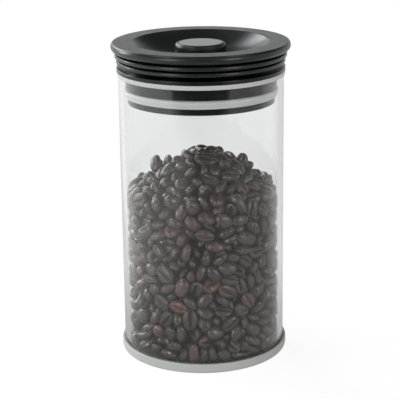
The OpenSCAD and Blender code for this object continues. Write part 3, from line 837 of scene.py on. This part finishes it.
def top_plate():
    """The pressed plate: a rounded rim, a flat ring, the dish, and below it the well, the
    spring's seat and the hook ring."""
    radius, low, high = extent("top_plate")
    plate = 2.2

    # The rim: a belly, which turns into a tighter rounding
    side_r, belly, soft_from, rim_depth, rim_width = 3.0, 2.3, 38.0, 5.2, 4.7
    side_x, side_z = radius - side_r, high - belly
    rim_low, rim_in = high - rim_depth, radius - rim_width
    rise, run = math.sin(math.radians(soft_from)), math.cos(math.radians(soft_from))
    soft_r = (belly - side_r * rise) / (1 - rise)
    soft_x = side_x + (side_r - soft_r) * run
    rim_start = -math.degrees(math.asin((side_z - rim_low) / side_r))

    # The dish: a bowl that meets the well level, and a rounding where it meets the flat ring
    flat_width, dish_depth, edge_r = 12.8, 10.5, 1.2
    well_in, well_out, well_depth, port, hub = 11.6, 13.4, 7.4, 3.2, 4.4
    well_plate, hub_height = 2.0, 3.6
    well_floor, hub_top, well_top = low + well_plate, low + hub_height, high - well_depth
    dish_run = radius - flat_width - well_out
    bowl = (dish_run ** 2 + dish_depth ** 2) / (2 * dish_depth)
    bowl_z = high - dish_depth + bowl
    edge_z = high - edge_r
    edge_x = well_out + math.sqrt((bowl + edge_r) ** 2 - (bowl_z - edge_z) ** 2)
    edge_turn = math.degrees(math.atan2(bowl_z - edge_z, well_out - edge_x))
    under = bowl + plate

    # Under the dish: the seat of the return spring with its lip, and the ring whose bead snaps
    # under the upper clamp ring
    seat_in, seat_out, seat_z = 21.0, 25.0, extent("return_spring")[2]
    lip_in, lip_out, lip_drop, lip_height = 20.7, 21.9, 1.2, 1.5
    lip_z = seat_z - lip_drop
    hook_in, hook_out, hook_drop, bead = 42.0, 43.3, 2.3, 0.5
    clamp_z = extent("upper_clamp_ring")[1]
    hook_z, bead_z = clamp_z - hook_drop, clamp_z - bead

    def angle_at(r):
        """Where on the underside of the dish a radius lies, in degrees."""
        return -math.degrees(math.acos((r - well_out) / under))

    rows = outline(
        (rim_in, rim_low, SOFT), *arc(side_x, side_z, side_r, rim_start, soft_from),
        *arc(soft_x, high - soft_r, soft_r, soft_from, 90)[1:],
        *arc(edge_x, edge_z, edge_r, 90, edge_turn),
        *arc(well_out, bowl_z, bowl, edge_turn - 180, -90),
        (well_out, well_top, EASED), (well_in, well_top, EASED),
        (well_in, well_floor), (hub, well_floor), (hub, hub_top), (port, hub_top),
        (port, low), (well_out, low),
        *arc(well_out, bowl_z, under, -90, angle_at(seat_in)),
        (seat_in, lip_z + lip_height), (lip_in, lip_z + lip_height), (lip_in, lip_z),
        (lip_out, lip_z), (lip_out, seat_z), (seat_out, seat_z),
        *arc(well_out, bowl_z, under, angle_at(seat_out), angle_at(hook_in)),
        (hook_in, hook_z), (hook_out, hook_z), *arc(hook_out, bead_z, bead, -90, 90),
        (hook_out, high - plate), (rim_in, high - plate, SOFT))
    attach(dress(lathe("top_plate_shell", rows), "top_plastic", "top_plate"), "top")


def button():
    """The round button with its skirt, its tube and the socket of the stem, and its cap."""
    radius, low, high = extent("button_head")
    cap_r, cap_depth, crown, plate, skirt, skirt_length = 13.1, 1.0, 2.25, 3.0, 1.4, 6.1
    tube_out, tube_in, socket_out, socket_in, socket_length = 11.5, 9.9, 3.3, 2.1, 2.4
    recess_round = 0.05
    recess, under, skirt_z = high - cap_depth, high - plate, high - skirt_length
    socket_z = under - socket_length
    rows = outline(
        (0, recess), (cap_r, recess), (cap_r, high, recess_round), (radius, high, crown),
        (radius, skirt_z, EASED), (radius - skirt, skirt_z, SOFT), (radius - skirt, under),
        (tube_out, under), (tube_out, low, FINE), (tube_in, low, FINE), (tube_in, under),
        (socket_out, under), (socket_out, socket_z), (socket_in, socket_z), (socket_in, under),
        (0, under))
    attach(dress(lathe("button_shell", rows), "button_plastic", "button_head"), "button")
    radius, low, high = extent("button_cap")
    rows = outline((0, low), (radius, low), (radius, high, FINE), (0, high))
    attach(dress(lathe("button_cap_disc", rows), "cap_plastic", "button_cap"), "button")


def inner_pieces():
    """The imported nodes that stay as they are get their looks."""
    looks = {
        "lid_plastic": ["lid_body", "gasket_retainer", "bean_guard"],
        "inner_plastic": ["lower_clamp_ring", "upper_clamp_ring", "valve_disc"],
        "valve_rubber": ["exhaust_flap", "valve_seal"],
        "steel": ["clamp_screws", "valve_stem", "stem_clip"],
    }
    for look, names in looks.items():
        for name in names:
            for material_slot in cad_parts[name].material_slots:
                material_slot.material = LOOKS[look]


# ---------------------------------------------------------------- camera, floor and light

def camera():
    """A camera that looks ahead along +Y and down, and leans a little."""
    data = bpy.data.cameras.new("camera")
    data.sensor_width = SENSOR_MM
    data.lens = FOCAL_PX * SENSOR_MM / PHOTO_PX
    data.clip_start, data.clip_end = NEAREST, FURTHEST
    right, up = Vector((1, 0, 0)), Vector((0, math.sin(CAMERA_PITCH), math.cos(CAMERA_PITCH)))
    ahead = Vector((0, math.cos(CAMERA_PITCH), -math.sin(CAMERA_PITCH)))
    x = right * math.cos(CAMERA_ROLL) + up * math.sin(CAMERA_ROLL)
    y = up * math.cos(CAMERA_ROLL) - right * math.sin(CAMERA_ROLL)
    turn = Matrix((x, y, -ahead)).transposed().to_4x4()
    made = bpy.data.objects.new("camera", data)
    made.matrix_world = Matrix.Translation(CAMERA_AT) @ turn
    bpy.context.scene.collection.objects.link(made)
    bpy.context.scene.camera = made


FLOOR_SIZE = 12.0         # in metres, like the distances that follow
FLOOR_Z = -0.02 * MM      # just under the boot
FLOOR_TONE = 0.8          # the table, as soft light meets it
TABLE_FRONT = 0.46        # its brightness as gloss meets it, in front of the canister
TABLE_LEFT, TABLE_BEHIND = 0.5, 0.29      # what it gains at the left and behind
LEFT_FROM, LEFT_TO = -0.08, -0.22
BEHIND_FROM, BEHIND_TO = 0.0, 0.14
SHADOW_DEPTH = 0.12       # how much of the table's white a full shadow takes away
SHADOW_START, SHADOW_REACH = 0.15, 0.45   # where the shadow starts to fade, and is gone
SHADOW_GAIN = 1.8         # makes up for lamps that light the table at less than full white
TABLE_END = -0.58         # its near edge: past it, gloss meets a dark room between pale boards
END_BEFORE, END_AFTER = 0.08, 0.10        # how softly it ends
FAR_EDGE, FAR_BLEND = 0.82, 0.04  # where the boards begin, as distance aside over distance ahead
FAR_LEFT, FAR_RIGHT = 0.65, 0.4           # the boards' brightness
DARK_ROOM = 0.02


def seen_directly(tree):
    """1 for rays from the camera, straight or through glass, with no reflection on the way."""
    path = node(tree, "LightPath").outputs
    straight = maths(tree, "LESS_THAN", path["Glossy Depth"], 0.5)
    through = maths(tree, "MULTIPLY", path["Is Transmission Ray"], straight)
    return maths(tree, "MAXIMUM", path["Is Camera Ray"], through)


def shadowed_white(tree, at):
    """White that shows a shadow near the canister, and none far from it."""
    away = node(tree, "VectorMath", {0: at}, operation="LENGTH").outputs["Value"]
    depth = spread(tree, away, SHADOW_DEPTH, 0, SHADOW_START, SHADOW_REACH)
    white = node(tree, "Emission", {"Strength": maths(tree, "SUBTRACT", 1, depth)})
    lit = maths(tree, "MULTIPLY", depth, SHADOW_GAIN)
    grey = node(tree, "CombineColor", {0: lit, 1: lit, 2: lit})
    return node(tree, "AddShader", {0: white, 1: node(tree, "BsdfDiffuse", {"Color": grey})})


def mirrored_table(tree, at):
    """What gloss meets: the table, and past its near edge a dark room with two pale boards."""
    x, y, _ = node(tree, "SeparateXYZ", {0: at}).outputs
    left = spread(tree, x, 0, TABLE_LEFT, LEFT_FROM, LEFT_TO)
    behind = spread(tree, y, 0, TABLE_BEHIND, BEHIND_FROM, BEHIND_TO)
    near = maths(tree, "ADD", TABLE_FRONT, maths(tree, "MAXIMUM", left, behind))
    aside = maths(tree, "DIVIDE", x, maths(tree, "ABSOLUTE", y, 0))
    far_left = spread(tree, aside, FAR_LEFT, DARK_ROOM, -FAR_EDGE - FAR_BLEND, -FAR_EDGE)
    far_right = spread(tree, aside, 0, FAR_RIGHT, FAR_EDGE - FAR_BLEND, FAR_EDGE)
    far = maths(tree, "ADD", far_left, far_right)
    beyond = spread(tree, y, 0, 1, TABLE_END + END_BEFORE, TABLE_END - END_AFTER)
    tone = node(tree, "Mix", {0: beyond, 2: near, 3: far}, data_type="FLOAT")
    return node(tree, "Emission", {"Strength": tone})


def floor():
    """A white table that keeps the object's shadow."""
    half = FLOOR_SIZE / 2 / MM
    corners = [(-half, -half), (half, -half), (half, half), (-half, half)]
    made = new_mesh("floor", [(x, y, FLOOR_Z / MM) for x, y in corners], [(0, 1, 2, 3)])
    material, tree = new_material("floor")
    at = on_piece(tree)
    plain = node(tree, "BsdfDiffuse", {"Color": (FLOOR_TONE,) * 3 + (1,)})
    mirrored = maths(tree, "GREATER_THAN", node(tree, "LightPath").outputs["Glossy Depth"], 0.5)
    unseen = node(tree, "MixShader", {0: mirrored, 1: plain, 2: mirrored_table(tree, at)})
    made.data.materials.append(finished(material, node(tree, "MixShader", {
        0: seen_directly(tree), 1: unseen, 2: shadowed_white(tree, at)})))


# The room's tones, and where they lie on a sphere of 1 round the canister
ROOM_TINT = (0.965, 1, 0.99, 1)
BACKDROP_LEFT, BACKDROP_RIGHT, BACKDROP_SIDE = 0.80, 0.69, 0.6
CEILING, CEILING_FROM, CEILING_TO = 0.085, 0.16, 0.45
FRONT, FRONT_FROM, FRONT_TO = 0.30, -0.1, -0.5


def studio():
    """A room with a pale backdrop that darkens upwards, a dark ceiling and a grey front."""
    world = bpy.data.worlds.new("studio")
    bpy.context.scene.world = world
    world.use_nodes = True
    tree = world.node_tree
    tree.nodes.clear()
    way = node(tree, "TexCoord").outputs["Generated"]
    x, y, z = node(tree, "SeparateXYZ", {0: way}).outputs
    low = spread(tree, z, 1, 0, CEILING_FROM, CEILING_TO)
    sideways = spread(tree, x, BACKDROP_LEFT, BACKDROP_RIGHT, -BACKDROP_SIDE, BACKDROP_SIDE)
    backdrop = maths(tree, "ADD", maths(tree, "MULTIPLY", low, sideways), CEILING)
    front = spread(tree, y, 0, 1, FRONT_FROM, FRONT_TO)
    tone = node(tree, "Mix", {0: front, 2: backdrop, 3: FRONT}, data_type="FLOAT")
    room = node(tree, "Background", {"Color": ROOM_TINT, "Strength": tone})
    white = node(tree, "Background", {"Color": (1, 1, 1, 1), "Strength": 1.0})
    shown = node(tree, "MixShader", {0: seen_directly(tree), 1: room, 2: white})
    node(tree, "OutputWorld", {"Surface": shown})


MIDDLE = Vector((0, 0, 0.11))     # of the canister


def softbox(name, at, size, radiance, colour=(1, 1, 1)):
    """A rectangular lamp that faces the canister. size is its width and height."""
    data = bpy.data.lights.new(name, "AREA")
    data.shape = "RECTANGLE"
    data.size, data.size_y = size
    data.energy = radiance * math.pi * data.size * data.size_y
    data.color = colour
    made = bpy.data.objects.new(name, data)
    made.location = at
    made.rotation_euler = (Vector(at) - MIDDLE).to_track_quat("Z", "Y").to_euler()
    bpy.context.scene.collection.objects.link(made)


def around(azimuth, elevation, distance):
    """A point round the canister. Azimuth 0 is straight behind it, and 90 to its right."""
    az, el = math.radians(azimuth), math.radians(elevation)
    away = Vector((math.sin(az) * math.cos(el), math.cos(az) * math.cos(el), math.sin(el)))
    return MIDDLE + away * distance


def lights():
    """Soft lamps, placed where the photograph's highlights lie."""
    softbox("back_left", around(-38, 29, 1.6), (1.0, 0.7), 5.0, (0.97, 0.99, 1))
    softbox("front_left", (-0.84, -1.0, 0.32), (0.5, 0.5), 5.5, (0.95, 0.98, 1))
    softbox("front_right", (0.84, -1.0, 0.32), (0.42, 0.5), 5.0, (1, 0.97, 0.94))
    softbox("left", (-0.92, 0.39, 0.36), (0.16, 0.5), 13, (0.96, 0.985, 1))
    softbox("overhead_left", around(-104, 60, 1.5), (0.4, 0.4), 7.0)
    softbox("overhead_right", around(106, 62, 1.5), (0.4, 0.4), 3.5)


camera()
studio()
lights()
floor()
boot()
jar()
beans()
painted_shade_core()
rim_seal()
plug_gasket()
bellows()
spring("return_coil", "return_spring", turns=3, wire=1.6)
spring("button_coil", "button_spring", turns=5, wire=0.8)
top_plate()
button()
inner_pieces()

view = bpy.context.scene.view_settings
view.view_transform = "Standard"
